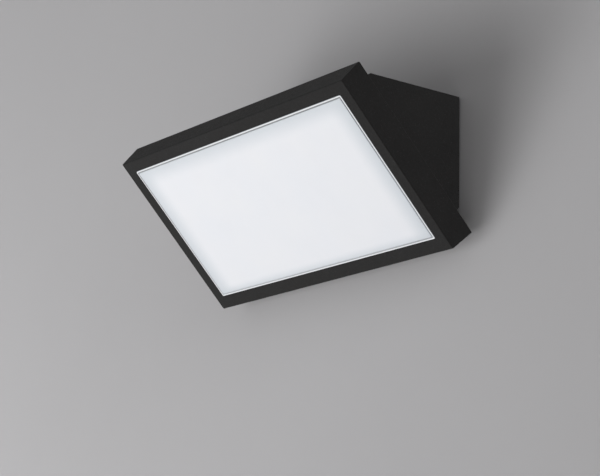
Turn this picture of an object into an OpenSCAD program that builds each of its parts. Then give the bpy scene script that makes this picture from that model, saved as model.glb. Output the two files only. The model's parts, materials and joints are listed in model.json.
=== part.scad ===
// Outdoor wall light: a slanted rectangular LED head on a right-angled rear housing.
// The wall is the plane Y = 0, the light lies in front of it towards -Y, and Z is up.
// The origin is the centre of the wall plate's back face, midway between its two fixing slots.
// Places in the head are given as x, h and depth: h runs up the slope from the lower front
// edge, and depth is measured behind the front face, square to it.

/* [Head] */
// Width of the front face
head_w = 220; // [205:1:300]
// Height of the front face, measured up the slope
head_h = 113; // [110:1:135]
// Thickness of the head, square to its front
head_t = 17; // [16.5:0.5:22]
// How far the head grows on each side from front to back
head_flare = 1.2; // [0.6:0.1:2]
// Lean of the front face away from the wall
tilt = 45; // [43:1:47]
// Chamfer on the front edges
edge = 0.4; // [0.2:0.1:0.8]

/* [Front frame] */
// Wall of the frame
frame_wall = 2.5; // [2:0.1:2.7]
// Thickness of the bezel
bezel_t = 2.5; // [2:0.1:3]
// Width of the bezel at each side
bezel_side = 8; // [7.5:0.1:10]
// Width of the bezel along the top
bezel_top = 7.5; // [7.5:0.1:10]
// Width of the bezel along the bottom
bezel_bottom = 8.5; // [7.5:0.1:10]
// Corner radius of the window
window_r = 1.5; // [1:0.1:3]
// Width of the ledge that the frame seal lies on
ledge_w = 1.5; // [1:0.1:1.8]
// Diameter of the screw bosses behind the bezel
boss_d = 4.8; // [4:0.1:4.8]

/* [Diffuser] */
// Wall of the opal diffuser
diffuser_t = 2; // [1.6:0.1:2.5]
// Width of its flange behind the bezel
flange_w = 3; // [2:0.1:4]
// Thickness of its flange
flange_t = 1.8; // [1.5:0.1:2.2]
// Clearance round it in the window
window_gap = 0.2; // [0.1:0.05:0.4]
// Width of the visible rim round its crown
rim_w = 1.2; // [0.8:0.1:1.6]
// How far the rim lies behind the front face
rim_sink = 0.2; // [0:0.1:0.8]
// How far the crown stands proud of the front face
crown_rise = 0.1; // [0:0.1:0.6]
// Thickness of the silicone ring under the bezel
gasket_t = 1; // [0.8:0.1:1.2]
// How far that ring stays back from the window's edge
gasket_back = 0.5; // [0.2:0.1:1]

/* [Rear housing] */
// Thickness of the slanted plate
plate_t = 3; // [2.5:0.1:3.5]
// Clearance round the plate inside the frame
plate_gap = 0.3; // [0.2:0.05:0.5]
// Thickness of the cord seal between ledge and plate
seal_t = 1.5; // [1.2:0.1:1.8]
// How far the rear housing is set in from the head's back edge at each side
housing_inset = 11; // [10.5:0.1:13]
// Depth of the collar behind the head
collar_d = 12; // [11:0.1:14]
// Gap between the head's lower back edge and the plane of the housing's rim
lip_gap = 0.5; // [0.2:0.1:1.5]
// Wall of the rear housing
housing_wall = 2.5; // [2:0.1:3]
// Width of the rim round the rear opening
rim_depth_w = 6; // [5:0.1:7]
// Width of the lip outside the wall gasket
lip_w = 2; // [1.5:0.1:2.5]
// Thickness of the ledge that presses the wall gasket
rim_ledge_t = 3; // [2:0.1:3.5]
// Gap between the housing's rim and the wall
rim_gap = 0.5; // [0.2:0.1:1]
// Thickness of the corner ribs inside
rib_t = 2; // [1.5:0.1:3]
// How far the corner ribs reach in along the slope
rib_reach = 14; // [8:0.5:16]

/* [LED board] */
// Width of the board
board_w = 190; // [180:1:190]
// Height of the board
board_h = 84; // [80:1:86]
// Thickness of the board
board_t = 1.6; // [1.2:0.1:2]
// Thickness of the thermal pad
pad_t = 0.5; // [0.3:0.1:1]
// LEDs along a row
led_cols = 12; // [6:2:14]
// Rows of LEDs
led_rows = 4; // [2:2:4]
// From the board's short edges to the outer LEDs
led_edge_x = 12.5; // [12:0.5:30]
// From the board's long edges to the outer rows
led_edge_h = 13.5; // [13:0.5:16]
// Length of one LED
led_l = 3.5; // [3:0.1:4]
// Width of one LED
led_w = 2.8; // [2:0.1:3.2]
// Height of one LED
led_h = 0.7; // [0.5:0.1:1]

/* [Driver] */
// Length of the driver's case
driver_l = 90; // [70:1:96]
// Width of the driver's case, up the slope
driver_w = 34; // [28:1:36]
// Height of the driver's case
driver_h = 22; // [18:0.5:24]
// Wall of the driver's case
driver_wall = 1.6; // [1.2:0.1:2]
// Length of each fixing ear
ear_l = 6; // [6:0.5:8]
// Width of each fixing ear
ear_w = 10; // [8:0.5:12]
// Thickness of each fixing ear
ear_t = 3; // [2:0.5:4]
// Height of the bosses under the ears
ear_lift = 4; // [3:0.5:5]

/* [Wall plate] */
// Thickness of the wall plate
wall_plate_t = 2; // [1.5:0.1:2.5]
// Clearance round the wall plate in the rear opening
wall_plate_gap = 0.7; // [0.5:0.1:1]
// Distance between the centres of the two fixing slots
slot_spacing = 150; // [135:1:160]
// Length of a fixing slot, end to end
slot_l = 10; // [8:0.5:14]
// Width of a fixing slot
slot_w = 5; // [4:0.1:6]
// Distance between the two lugs, and between the two hooks
lug_spacing = 120; // [110:1:124]
// Width of a lug
lug_w = 20; // [16:1:20]
// Length of a lug, square to the wall
lug_l = 16; // [14:0.5:18]
// Length of a lug's leg on the wall plate
lug_leg = 14; // [12:0.5:15]
// Inside radius of the bends
bend_r = 1; // [0.5:0.1:2]
// Width of a hook
hook_w = 16; // [14:1:20]
// How far a hook reaches behind the ledge
hook_reach = 4.4; // [2:0.1:5]
// Diameter of the dish round the cable hole
dish_d = 36; // [34:0.5:38]
// Depth of the dish
dish_depth = 2.5; // [2.2:0.1:3]
// Diameter of the cable hole
cable_hole_d = 20; // [18:0.5:22]
// Thickness of the wall gasket
wall_gasket_t = 2.5; // [2:0.1:3]

/* [Cable inlet] */
// Bore of the cable grommet
cable_d = 7; // [5:0.1:8]
// Diameter of its flanges
inlet_flange_d = 26; // [24:0.5:28]
// Thickness of its flanges
inlet_flange_t = 1.6; // [1.2:0.1:2]
// Diameter of its nozzle
inlet_nozzle_d = 11; // [10:0.5:14]
// Length of its nozzle
inlet_nozzle_l = 6; // [4:0.5:8]

/* [Terminal block] */
// Poles
poles = 3; // [2:1:3]
// Distance between poles
pole_pitch = 10; // [9:0.5:10]
// Height of the block
block_h = 18; // [16:0.5:20]
// How far the block stands off the plate
block_d = 16; // [15:0.5:18]
// Length of each fixing ear of the block
block_ear = 5; // [5:0.5:6]

/* [Screws] */
// Diameter of the screws that join frame and housing
frame_screw_d = 2.5; // [2:0.1:2.5]
// Length of those screws
frame_screw_l = 10; // [8:0.5:11]
// Diameter of the board, driver and block screws
small_screw_d = 3; // [2.5:0.1:3]
// Diameter of the two cover screws
cover_screw_d = 4; // [3:0.1:4]
// Length of the two cover screws
cover_screw_l = 10; // [9:0.5:12]
// Diameter of the cover screws' heads
cover_head_d = 7.6; // [7:0.1:8]
// Height of the cover screws' heads
cover_head_h = 2.2; // [1.8:0.1:2.4]
// Thickness of the sealing washers
cover_seal_t = 0.8; // [0.6:0.1:1]

/* [Leads] */
// Diameter of the leads to the board
led_lead_d = 1.8; // [1.4:0.1:2]
// Diameter of the mains and earth leads
mains_lead_d = 2.4; // [2:0.1:2.6]

/* [Hidden] */
$fn = 48;

// Colours
black_paint = "#2b2c2e";
opal = "#eef3f6";
silicone_grey = "#8f9496";
white_plastic = "#f4f5f3";
board_white = "#e9ebe6";
led_yellow = "#f2df8a";
pad_blue = "#8fb0c4";
steel = "#b9bcbf";
zinc = "#9da3a8";
brass = "#c9a24a";
rubber_black = "#1c1d1e";
foam_black = "#303234";
driver_plastic = "#3a3d41";
resin_grey = "#5b5f62";
block_plastic = "#e4e2d8";
lead_red = "#b3261e";
lead_brown = "#6b4226";
lead_blue = "#2f5fa8";
earth_green = "#5b9a3c";

// General clearances
cut = 1;
thread_gap = 0.1;
hole_gap = 0.3;
boss_gap = 0.2;
seat_gap = 0.2;
skin = 0.01;

// Places on the slope
collar_top = head_h + head_flare - collar_d * tan(tilt);
collar_low = collar_d / tan(tilt) - lip_gap / sin(tilt) - head_flare;
slope_l = collar_top - collar_low;
back_h = slope_l * cos(tilt);
collar_back = head_t + collar_d;
head_y = -rim_gap + collar_low * sin(tilt) - collar_back * cos(tilt);
head_z = -back_h / 2 - collar_low * cos(tilt) - collar_back * sin(tilt);
housing_w = head_w + 2 * head_flare - 2 * housing_inset;
housing_top = back_h / 2;
far = 2 * head_h;

// The window and what lies behind it
window_w = head_w - 2 * bezel_side;
window_low = bezel_bottom;
window_high = head_h - bezel_top;
window_mid = (window_low + window_high) / 2;
flange_front = bezel_t + gasket_t;
flange_back = flange_front + flange_t;
plate_front = head_t - plate_t;
ledge_depth = plate_front - seal_t;
board_front = plate_front - pad_t - board_t;

// Screw bosses of the frame
boss_x = head_w / 2 - frame_wall - boss_d / 4;
boss_low = frame_wall + boss_d / 4;
boss_high = head_h - frame_wall - boss_d / 4;
frame_bosses = [for (h = [boss_low, boss_high]) for (x = [-boss_x, 0, boss_x]) [x, h]];
boss_hole_l = frame_screw_l - plate_t + cut;
frame_head_d = 4.6;
frame_head_h = 1.8;

// Board screws
board_screw_in_x = 10;
board_screw_in_h = 8;
board_screw_x = board_w / 2 - board_screw_in_x;
board_screw_h = board_h / 2 - board_screw_in_h;
board_holes = [for (h = [-board_screw_h, board_screw_h]) for (x = [-board_screw_x, 0, board_screw_x])
    [x, window_mid + h]];
board_boss_d = 7;
board_boss_l = 3;
board_screw_l = 6;
pad_margin = 1;
led_pitch_x = (board_w - 2 * led_edge_x) / (led_cols - 1);
led_pitch_h = (board_h - 2 * led_edge_h) / (led_rows - 1);
small_head_d = 5.5;
small_head_h = 2;

// Lead hole through the plate and the board
lead_hole_in = 9;
lead_hole = [-board_w / 2 + lead_hole_in, window_mid];
lead_neck_d = 7;
lead_flange_d = 9.4;
lead_flange_t = 1.2;
lead_bore_d = 5;
board_hole_d = 10;
lead_step = 1.3;
lead_stand = 0.4;
lead_top_depth = board_front - led_lead_d / 2 - lead_stand;
joint_swell = 0.1;

// Board connector
connector_l = 8;
connector_w = 6;
connector_h = 3.5;
connector_x = lead_hole[0] + board_hole_d / 2 + hole_gap;

// Reflector
mirror_t = 1.5;
mirror_foot_w = 3.5;
mirror_mouth = 3;
mirror_edge = 0.5;

// Driver
driver_x = -30;
driver_low = 44.5;
driver_mid = driver_low + driver_w / 2;
driver_back = head_t + driver_h;
lead_exit_lift = 13;
lead_exit_in = 5;
lead_exit_depth = head_t + lead_exit_lift;
lead_exit_low = driver_low + lead_exit_in;
lead_exit_l = 6;
lead_turn_lift = 6;
lead_turn_depth = head_t + lead_turn_lift;
ear_back = head_t + ear_lift + ear_t;
ear_x = [driver_x - driver_l / 2 - ear_l / 2, driver_x + driver_l / 2 + ear_l / 2];
driver_boss_d = ear_l - 2 * seat_gap;
driver_hole_end = 1.5;
driver_screw_l = ear_t + ear_lift;
potting_gap = 1.5;

// Earth point on the plate
earth_point = [62, 72];
earth_boss_d = 8;
earth_boss_l = 6;
earth_screw_d = 4;
earth_screw_l = 7;
earth_head_d = 7;
earth_head_h = 2.6;
earth_ring_t = 0.8;
earth_ring_d = 8;
earth_barrel_d = 3.4;
earth_barrel_l = 6;
earth_neck = 2;
earth_straight = 3;
earth_washer_t = 0.8;
earth_back = head_t + earth_boss_l;
earth_barrel_h = earth_point[1] - earth_ring_d / 2 - earth_neck;

// Rear opening
open_w = housing_w - 2 * rim_depth_w;
open_h = back_h - 2 * rim_depth_w;
rabbet_w = housing_w - 2 * lip_w;
rabbet_h = back_h - 2 * lip_w;
ledge_y = wall_gasket_t + rim_ledge_t;
rib_places = [-88, -30, 30, 88];

// Wall plate
wall_plate_w = open_w - 2 * wall_plate_gap;
lug_top = open_h / 2 - wall_plate_gap;
bend_out = bend_r + wall_plate_t;
hook_front = ledge_y + seat_gap;
hook_top = -10.5;
hook_ramp = -20;
hook_ramp_end = hook_ramp - hook_front + wall_plate_t;
hook_low = -open_h / 2 - hook_reach;
ramp_shift = wall_plate_t * tan(45 / 2);
dish_back = dish_depth + wall_plate_t;
rivet_d = 3;
rivet_head_d = 5;
rivet_head_h = 1.2;
rivet_x = 5;
rivet_in = 4;
rivet_lug_z = lug_top - lug_leg + rivet_in;
rivet_hook_z = hook_top - rivet_in;
lug_x = [-lug_spacing / 2, lug_spacing / 2];

// Cover screws
cover_y = -10;
cover_boss_d = 11;
cover_bore_d = 8.6;
cover_seat = housing_top - cover_head_h - cover_seal_t;
nut_d = 8;
nut_l = 3.2;
hex_af = 2.5;
hex_depth = 1.4;

// Terminal block
block_x = 40;
block_z = -1;
block_w = poles * pole_pitch;
block_ear_h = 8;
block_ear_t = 4;
cage_a = 6;
cage_l = 14;
cage_gap = 0.2;
cage_y = 9.7;
cage_bore = 3;
well_d = 4.2;
well_z = 4.5;
clamp_screw_d = 2.5;
clamp_head_d = 3.8;
clamp_head_h = 1.6;
clamp_stand = 0.4;
clamp_reach = 1.5;
lead_entry = 4;
lead_rise = 10;
supply_exit_in = 10;
supply_exit_depth = head_t + supply_exit_in;
supply_step = 4;
slit_w = 0.7;
slit_depth = 0.8;

// A point in the head, as a place in the frame of the whole light
function at(x, h, depth) = [x, head_y - h * sin(tilt) + depth * cos(tilt),
    head_z + h * cos(tilt) + depth * sin(tilt)];

// Puts a shape drawn as x, h and minus depth onto the slope
module in_head() {
    translate([0, head_y, head_z]) rotate([90 + tilt, 0, 0]) children();
}

// A block centred across the head, between two heights and two depths
module slab(w, low, high, front, back) {
    translate([-w / 2, low, -back]) cube([w, high - low, back - front]);
}

// The outline of a rounded rectangle, centred across
module rounded(w, low, high, r) {
    translate([-w / 2 + r, low]) square([w - 2 * r, high - low]);
    translate([-w / 2, low + r]) square([w, high - low - 2 * r]);
    for (x = [-w / 2 + r, w / 2 - r])
        for (h = [low + r, high - r])
            translate([x, h]) circle(r);
}

// A block with rounded corners
module round_slab(w, low, high, front, back, r) {
    translate([0, 0, -back]) linear_extrude(back - front) rounded(w, low, high, r);
}

// A round post or hole along the depth
module post(x, h, front, back, d) {
    translate([x, h, -back]) cylinder(h = back - front, d = d);
}

// A shape drawn flat, run along the width
module along_x(w) {
    translate([-w / 2, 0, 0]) rotate([90, 0, 90]) linear_extrude(w) children();
}

// Turns a shape that points up so that it points along a run
module aim(run) {
    rotate([0, acos(run[2] / norm(run)), atan2(run[1], run[0])]) children();
}

// A bar of round wire through a list of points, with rounded corners
module wire(points, d) {
    for (i = [0 : len(points) - 2]) {
        run = points[i + 1] - points[i];
        translate(points[i]) aim(run) {
            cylinder(h = norm(run), d = d, $fn = 24);
            if (i > 0) sphere(d = d + joint_swell, $fn = 24);
        }
    }
}

// A screw along the depth, with its head behind depth `seat` when it comes from the back
module screw_from_back(x, h, seat, length, d, head_d, head_h) {
    difference() {
        union() {
            post(x, h, seat - length, seat, d);
            post(x, h, seat, seat + head_h, head_d);
        }
        translate([x - head_d / 2, h - slit_w / 2, -seat - head_h - cut])
            cube([head_d, slit_w, slit_depth + cut]);
    }
}

// The side of the head as a profile between its front edges at low and high
function taper_profile(low, high) = [
    [low - head_flare, -head_t],
    [low - head_flare * edge / head_t, -edge],
    [low + edge, 0],
    [high - edge, 0],
    [high + head_flare * edge / head_t, -edge],
    [high + head_flare, -head_t]
];

module head_block() {
    intersection() {
        translate([0, head_h + far / 2, 0]) rotate([90, 0, 0])
            linear_extrude(head_h + far) polygon(taper_profile(-head_w / 2, head_w / 2));
        along_x(head_w + far) polygon(taper_profile(0, head_h));
    }
}

module front_frame() {
    color(black_paint) in_head() difference() {
        union() {
            difference() {
                head_block();
                slab(head_w - 2 * frame_wall, frame_wall, head_h - frame_wall, bezel_t, head_t + cut);
                slab(head_w - 2 * frame_wall + 2 * ledge_w, frame_wall - ledge_w,
                    head_h - frame_wall + ledge_w, ledge_depth, head_t + cut);
                round_slab(window_w, window_low, window_high, -cut, head_t, window_r);
            }
            for (b = frame_bosses)
                post(b[0], b[1], bezel_t - edge, ledge_depth, boss_d);
        }
        for (b = frame_bosses)
            post(b[0], b[1], plate_front - boss_hole_l, plate_front + cut, frame_screw_d + thread_gap);
    }
}

// The flange's outline with a notch for each boss
module flange_outline(front, back) {
    difference() {
        slab(window_w + 2 * flange_w, window_low - flange_w, window_high + flange_w, front, back);
        for (b = frame_bosses)
            post(b[0], b[1], front - cut, back + cut, boss_d + 2 * boss_gap);
    }
}

module diffuser() {
    step_w = window_w - 2 * window_gap;
    step_low = window_low + window_gap;
    step_high = window_high - window_gap;
    color(opal) in_head() difference() {
        union() {
            flange_outline(flange_front, flange_back);
            round_slab(step_w, step_low, step_high, rim_sink, flange_back, window_r);
            round_slab(step_w - 2 * rim_w, step_low + rim_w, step_high - rim_w, -crown_rise,
                flange_back, window_r);
        }
        slab(step_w - 2 * diffuser_t, step_low + diffuser_t, step_high - diffuser_t,
            diffuser_t - crown_rise, flange_back + cut);
    }
}

module diffuser_gasket() {
    color(silicone_grey) in_head() difference() {
        flange_outline(bezel_t, flange_front);
        round_slab(window_w + 2 * gasket_back, window_low - gasket_back, window_high + gasket_back,
            bezel_t - cut, flange_front + cut, window_r);
    }
}

// Outside of the collar and the wedge: a slanted block trimmed level on top and by the wall
module wedge_block(inset, top, back) {
    intersection() {
        in_head() slab(housing_w - 2 * inset, collar_low + inset, collar_top - inset, head_t, far);
        translate([-far, -far - back, -far]) cube([2 * far, far, far + top]);
    }
}

module rib_corners() {
    in_head() for (x = rib_places) translate([x, 0, 0]) {
        slab(rib_t, collar_low, collar_low + rib_reach, head_t, far);
        slab(rib_t, collar_top - rib_reach, collar_top, head_t, far);
    }
}

module rear_housing() {
    color(black_paint) difference() {
        union() {
            in_head() slab(head_w - 2 * frame_wall + 2 * ledge_w - 2 * plate_gap,
                frame_wall - ledge_w + plate_gap, head_h - frame_wall + ledge_w - plate_gap,
                plate_front, head_t);
            difference() {
                wedge_block(0, housing_top, rim_gap);
                wedge_block(housing_wall, housing_top - housing_wall, ledge_y);
                translate([-open_w / 2, -ledge_y - cut, -open_h / 2]) cube([open_w, far, open_h]);
                translate([-rabbet_w / 2, -wall_gasket_t, -rabbet_h / 2]) cube([rabbet_w, far, rabbet_h]);
            }
            intersection() {
                wedge_block(housing_wall / 2, housing_top - housing_wall / 2, ledge_y + lug_l);
                rib_corners();
            }
            in_head() {
                for (b = board_holes)
                    post(b[0], b[1], plate_front, head_t + board_boss_l, board_boss_d);
                for (x = ear_x)
                    post(x, driver_mid, plate_front, head_t + ear_lift, driver_boss_d);
                post(earth_point[0], earth_point[1], plate_front, earth_back, earth_boss_d);
            }
            for (x = lug_x)
                translate([x, cover_y, lug_top + seat_gap])
                    cylinder(h = housing_top - housing_wall / 2 - lug_top - seat_gap, d = cover_boss_d);
        }
        in_head() {
            for (b = board_holes)
                post(b[0], b[1], plate_front - cut, board_front + board_screw_l + cut / 2,
                    small_screw_d + thread_gap);
            for (b = frame_bosses)
                post(b[0], b[1], plate_front - cut, head_t + cut, frame_screw_d + hole_gap);
            for (x = ear_x)
                post(x, driver_mid, plate_front + driver_hole_end, head_t + ear_lift + cut,
                    small_screw_d + thread_gap);
            post(lead_hole[0], lead_hole[1], plate_front - cut, head_t + cut, lead_neck_d);
            post(earth_point[0], earth_point[1], plate_front + driver_hole_end, earth_back + cut,
                earth_screw_d + thread_gap);
        }
        for (x = lug_x) translate([x, cover_y, 0]) {
            cylinder(h = far, d = cover_screw_d + hole_gap);
            translate([0, 0, cover_seat]) cylinder(h = far, d = cover_bore_d);
        }
    }
}

module frame_seal() {
    seal_w = head_w - 2 * frame_wall + 2 * ledge_w - 2 * thread_gap;
    low = frame_wall - ledge_w + thread_gap;
    high = head_h - frame_wall + ledge_w - thread_gap;
    color(silicone_grey) in_head() difference() {
        union() {
            difference() {
                slab(seal_w, low, high, ledge_depth, plate_front);
                slab(head_w - 2 * frame_wall, frame_wall, head_h - frame_wall, ledge_depth - cut,
                    plate_front + cut);
            }
            for (b = frame_bosses)
                post(b[0], b[1], ledge_depth, plate_front, boss_d);
        }
        for (b = frame_bosses)
            post(b[0], b[1], ledge_depth - cut, plate_front + cut, frame_screw_d + hole_gap);
    }
}

module frame_screws() {
    color(steel) in_head()
        for (b = frame_bosses)
            screw_from_back(b[0], b[1], head_t, frame_screw_l, frame_screw_d, frame_head_d,
                frame_head_h);
}

// A funnel between two rectangles, for the sloped walls of the reflector
module funnel(front_in, back_in, front, back) {
    hull() {
        slab(window_w - 2 * front_in, window_low + front_in, window_high - front_in, front, front + skin);
        slab(board_w - 2 * back_in, window_mid - board_h / 2 + back_in,
            window_mid + board_h / 2 - back_in, back - skin, back);
    }
}

module reflector() {
    color(white_plastic) in_head() difference() {
        union() {
            slab(window_w - 2 * mirror_edge, window_low + mirror_edge, window_high - mirror_edge,
                flange_back, flange_back + mirror_t);
            funnel(mirror_mouth - mirror_t, mirror_foot_w - mirror_t + mirror_edge, flange_back,
                board_front);
            slab(board_w - 2 * mirror_edge, window_mid - board_h / 2 + mirror_edge,
                window_mid + board_h / 2 - mirror_edge, board_front - mirror_t, board_front);
        }
        funnel(mirror_mouth, mirror_foot_w + mirror_edge, flange_back - skin, board_front + skin);
    }
}

// Holes of the board, for the pad and the board alike
module board_cuts() {
    for (b = board_holes)
        post(b[0], b[1], board_front - cut, plate_front + cut, small_screw_d + hole_gap);
    post(lead_hole[0], lead_hole[1], board_front - cut, plate_front + cut, board_hole_d);
}

module led_board() {
    color(board_white) in_head() difference() {
        slab(board_w, window_mid - board_h / 2, window_mid + board_h / 2, board_front,
            board_front + board_t);
        board_cuts();
    }
}

module thermal_pad() {
    color(pad_blue) in_head() difference() {
        slab(board_w - 2 * pad_margin, window_mid - board_h / 2 + pad_margin,
            window_mid + board_h / 2 - pad_margin, board_front + board_t, plate_front);
        board_cuts();
    }
}

module led_packages() {
    color(led_yellow) in_head()
        for (c = [0 : led_cols - 1])
            for (r = [0 : led_rows - 1])
                translate([(c - (led_cols - 1) / 2) * led_pitch_x,
                    window_mid + (r - (led_rows - 1) / 2) * led_pitch_h, 0])
                    slab(led_l, -led_w / 2, led_w / 2, board_front - led_h, board_front);
}

module board_connector() {
    color(white_plastic) in_head() translate([connector_x + connector_l / 2, lead_hole[1], 0]) difference() {
        slab(connector_l, -connector_w / 2, connector_w / 2, board_front - connector_h, board_front);
        for (s = [-1, 1])
            translate([-connector_l / 2 - cut, s * lead_step, -lead_top_depth]) rotate([0, 90, 0])
                cylinder(h = connector_l / 2 + cut, d = led_lead_d + thread_gap);
    }
}

module board_screws() {
    color(steel) in_head()
        for (b = board_holes)
            difference() {
                union() {
                    post(b[0], b[1], board_front, board_front + board_screw_l, small_screw_d);
                    post(b[0], b[1], board_front - small_head_h, board_front, small_head_d);
                }
                translate([b[0] - small_head_d / 2, b[1] - slit_w / 2,
                    -board_front + small_head_h - slit_depth])
                    cube([small_head_d, slit_w, slit_depth + cut]);
            }
}

module lead_grommet() {
    color(rubber_black) in_head() difference() {
        union() {
            post(lead_hole[0], lead_hole[1], plate_front - lead_flange_t, plate_front, lead_flange_d);
            post(lead_hole[0], lead_hole[1], plate_front, head_t, lead_neck_d);
            post(lead_hole[0], lead_hole[1], head_t, head_t + lead_flange_t, lead_flange_d);
        }
        post(lead_hole[0], lead_hole[1], plate_front - 2 * lead_flange_t, head_t + 2 * lead_flange_t,
            lead_bore_d);
    }
}

module led_leads() {
    exit_x = driver_x - driver_l / 2;
    for (s = [-1, 1]) {
        h = lead_hole[1] + s * lead_step;
        exit_h = lead_exit_low + (s + 1) * lead_step;
        color(s > 0 ? lead_red : rubber_black)
            wire([at(exit_x, exit_h, lead_exit_depth),
                at(exit_x - lead_exit_l, exit_h, lead_exit_depth),
                at(lead_hole[0], h, lead_turn_depth),
                at(lead_hole[0], h, lead_top_depth),
                at(connector_x + connector_l / 2 - cut, h, lead_top_depth)], led_lead_d);
    }
}

module driver_case() {
    color(driver_plastic) in_head() difference() {
        union() {
            translate([driver_x, 0, 0])
                slab(driver_l, driver_low, driver_low + driver_w, head_t, driver_back);
            translate([driver_x, 0, 0])
                slab(driver_l + 2 * ear_l, driver_mid - ear_w / 2, driver_mid + ear_w / 2,
                    head_t + ear_lift, ear_back);
        }
        translate([driver_x, 0, 0])
            slab(driver_l - 2 * driver_wall, driver_low + driver_wall, driver_low + driver_w - driver_wall,
                head_t + driver_wall, driver_back + cut);
        for (x = ear_x)
            post(x, driver_mid, head_t, ear_back + cut, small_screw_d + hole_gap);
    }
}

module driver_potting() {
    color(resin_grey) in_head() translate([driver_x, 0, 0])
        slab(driver_l - 2 * driver_wall, driver_low + driver_wall, driver_low + driver_w - driver_wall,
            head_t + driver_wall, driver_back - potting_gap);
}

module driver_screws() {
    color(steel) in_head()
        for (x = ear_x)
            screw_from_back(x, driver_mid, ear_back, driver_screw_l, small_screw_d, small_head_d,
                small_head_h);
}

// The top of a pole's wire entry in the terminal block
function pole_x(i) = block_x + (i - (poles - 1) / 2) * pole_pitch;
function pole_entry(i, rise) = [pole_x(i), -cage_y, block_z + block_h / 2 + rise];

module supply_leads() {
    exit_x = driver_x + driver_l / 2;
    for (i = [0, 1]) {
        exit_h = driver_low + driver_w - (i + 1) * supply_step;
        color(i == 0 ? lead_brown : lead_blue)
            wire([at(exit_x, exit_h, supply_exit_depth),
                at(pole_x(i) - supply_step, exit_h, supply_exit_depth),
                pole_entry(i, lead_rise),
                pole_entry(i, -lead_entry)], mains_lead_d);
    }
}

module earth_ring() {
    color(steel) in_head() difference() {
        union() {
            post(earth_point[0], earth_point[1], earth_back, earth_back + earth_ring_t, earth_ring_d);
            translate([earth_point[0], 0, 0])
                slab(earth_barrel_d, earth_barrel_h, earth_point[1], earth_back, earth_back + earth_ring_t);
            translate([earth_point[0], earth_barrel_h, -earth_back - earth_ring_t / 2])
                rotate([90, 0, 0]) cylinder(h = earth_barrel_l, d = earth_barrel_d);
        }
        post(earth_point[0], earth_point[1], earth_back - cut, earth_back + cut + earth_ring_t,
            earth_screw_d + hole_gap);
        translate([earth_point[0], earth_barrel_h - cut, -earth_back - earth_ring_t / 2])
            rotate([90, 0, 0]) cylinder(h = earth_barrel_l, d = mains_lead_d + thread_gap);
    }
}

module earth_lead() {
    i = poles - 1;
    start_h = earth_barrel_h - cut;
    depth = earth_back + earth_ring_t / 2;
    color(earth_green)
        wire([at(earth_point[0], start_h, depth),
            at(earth_point[0], start_h - earth_barrel_l - earth_straight, depth),
            pole_entry(i, lead_rise),
            pole_entry(i, -lead_entry)], mains_lead_d);
}

module earth_washer() {
    color(steel) in_head() difference() {
        post(earth_point[0], earth_point[1], earth_back + earth_ring_t,
            earth_back + earth_ring_t + earth_washer_t, earth_ring_d);
        post(earth_point[0], earth_point[1], earth_back, earth_back + earth_ring_t + earth_washer_t + cut,
            earth_screw_d + hole_gap);
    }
}

module earth_screw() {
    color(brass) in_head()
        screw_from_back(earth_point[0], earth_point[1], earth_back + earth_ring_t + earth_washer_t,
            earth_screw_l, earth_screw_d, earth_head_d, earth_head_h);
}

// Side view of a lug bracket: a leg on the plate, a bend, and out level at the top
module lug_profile() {
    translate([-2 * wall_plate_t, lug_top - lug_leg]) square([wall_plate_t, lug_leg - bend_out]);
    translate([-wall_plate_t - bend_out, lug_top - bend_out]) intersection() {
        difference() {
            circle(bend_out);
            circle(bend_r);
        }
        square(bend_out);
    }
    translate([-lug_l, lug_top - wall_plate_t])
        square([lug_l - wall_plate_t - bend_out, wall_plate_t]);
}

// Side view of a hook bracket: a leg on the plate, a ramp, and straight down behind the ledge
module hook_profile() {
    polygon([
        [-wall_plate_t, hook_top],
        [-wall_plate_t, hook_ramp],
        [-hook_front, hook_ramp_end],
        [-hook_front, hook_low],
        [-hook_front - wall_plate_t, hook_low],
        [-hook_front - wall_plate_t, hook_ramp_end + ramp_shift],
        [-2 * wall_plate_t, hook_ramp + ramp_shift],
        [-2 * wall_plate_t, hook_top]
    ]);
}

// One child at each rivet that holds the brackets on the plate
module at_rivets() {
    for (x = lug_x)
        for (s = [-1, 1])
            for (z = [rivet_lug_z, rivet_hook_z])
                translate([x + s * rivet_x, 0, z]) rotate([90, 0, 0]) children();
}

module wall_plate() {
    color(zinc) difference() {
        union() {
            translate([-wall_plate_w / 2, -wall_plate_t, -lug_top])
                cube([wall_plate_w, wall_plate_t, 2 * lug_top]);
            rotate([90, 0, 0]) cylinder(h = dish_back, d = dish_d);
        }
        rotate([90, 0, 0]) translate([0, 0, -cut])
            cylinder(h = dish_depth + cut, d = dish_d - 2 * wall_plate_t);
        rotate([90, 0, 0]) translate([0, 0, -cut]) cylinder(h = far, d = cable_hole_d);
        for (s = [-1, 1])
            translate([s * slot_spacing / 2, cut, 0]) rotate([90, 0, 0])
                linear_extrude(wall_plate_t + 2 * cut) slot_outline();
        for (s = [-1, 1])
            translate([block_x + s * (block_w / 2 + block_ear / 2), cut, block_z]) rotate([90, 0, 0])
                cylinder(h = wall_plate_t + 2 * cut, d = small_screw_d + thread_gap);
        at_rivets() translate([0, 0, -cut])
            cylinder(h = wall_plate_t + 2 * cut, d = rivet_d + thread_gap);
    }
}

module lug_brackets() {
    color(zinc) difference() {
        for (x = lug_x)
            translate([x, 0, 0]) along_x(lug_w) lug_profile();
        at_rivets() cylinder(h = 2 * wall_plate_t + cut, d = rivet_d + thread_gap);
        for (x = lug_x)
            translate([x, cover_y, lug_top - wall_plate_t - cut])
                cylinder(h = wall_plate_t + 2 * cut, d = cover_screw_d + hole_gap);
    }
}

module hook_brackets() {
    color(zinc) difference() {
        for (x = lug_x)
            translate([x, 0, 0]) along_x(hook_w) hook_profile();
        at_rivets() cylinder(h = 2 * wall_plate_t + cut, d = rivet_d + thread_gap);
    }
}

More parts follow.
